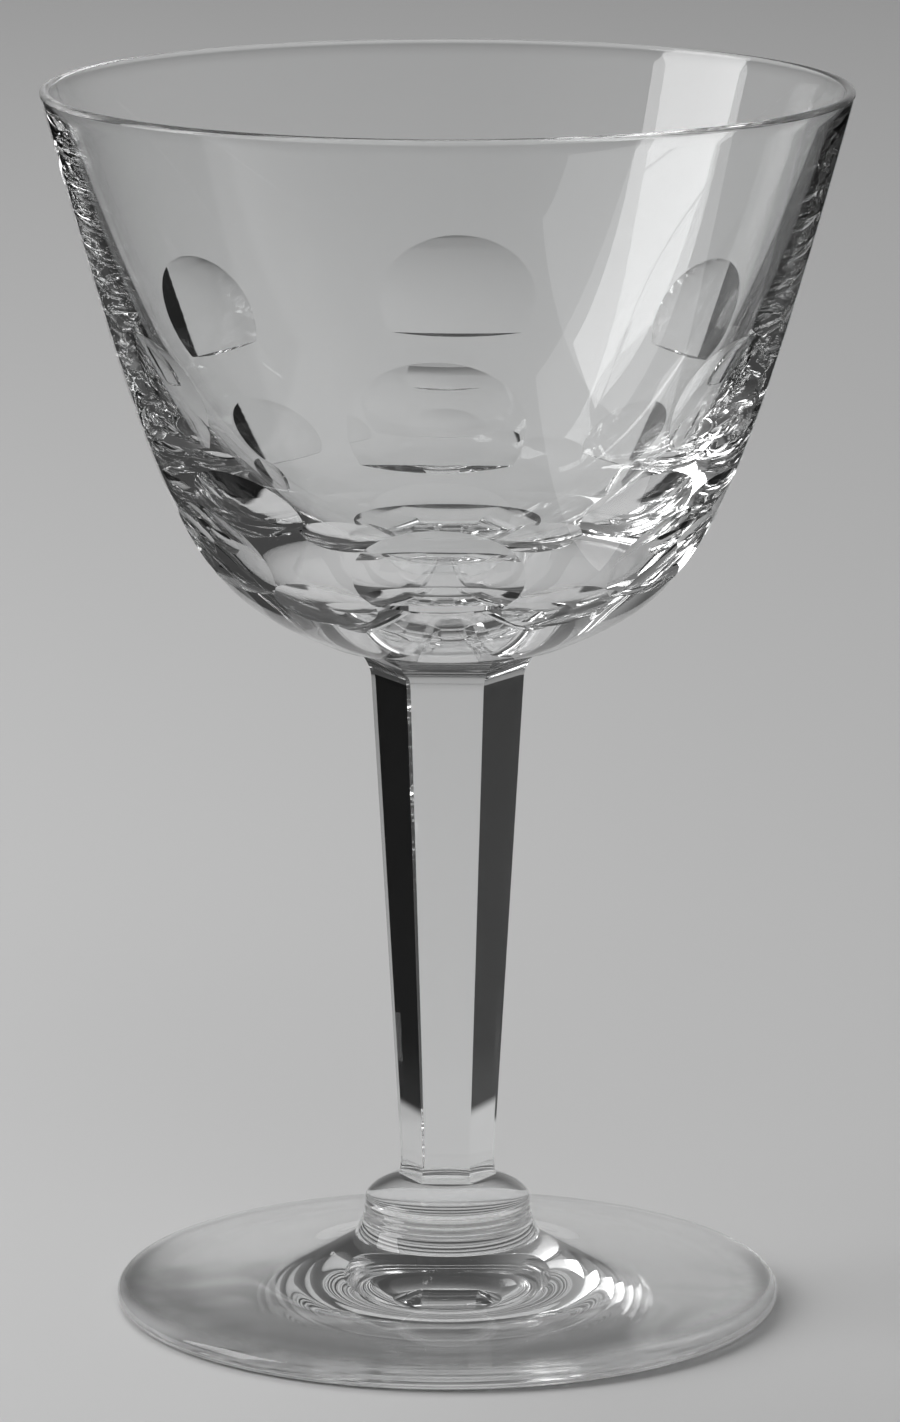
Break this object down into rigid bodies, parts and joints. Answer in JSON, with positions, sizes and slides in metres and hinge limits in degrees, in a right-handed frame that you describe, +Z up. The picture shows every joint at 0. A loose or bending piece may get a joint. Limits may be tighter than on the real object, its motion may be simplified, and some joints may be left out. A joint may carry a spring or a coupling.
{
  "type": "claret wine glass",
  "caption": "Stemmed wine glass with a flaring bowl cut with half-moon facets, a tapered flat-sided stem, a turned knop and a round foot, for holding and drinking wine.",
  "frame": {"origin": "centre of the ring that the foot rests on, on the table's surface", "axes": "+Z up along the axis of the stem, -Y towards the viewer, with one flat of the stem facing -Y"},
  "size_m": [0.0878, 0.0876, 0.135],
  "materials": {
    "crystal": "clear polished crystal"
  },
  "bodies": {
    "root": {"bowl": "crystal", "stem": "crystal", "knop": "crystal", "foot": "crystal"}
  },
  "joints": []
}
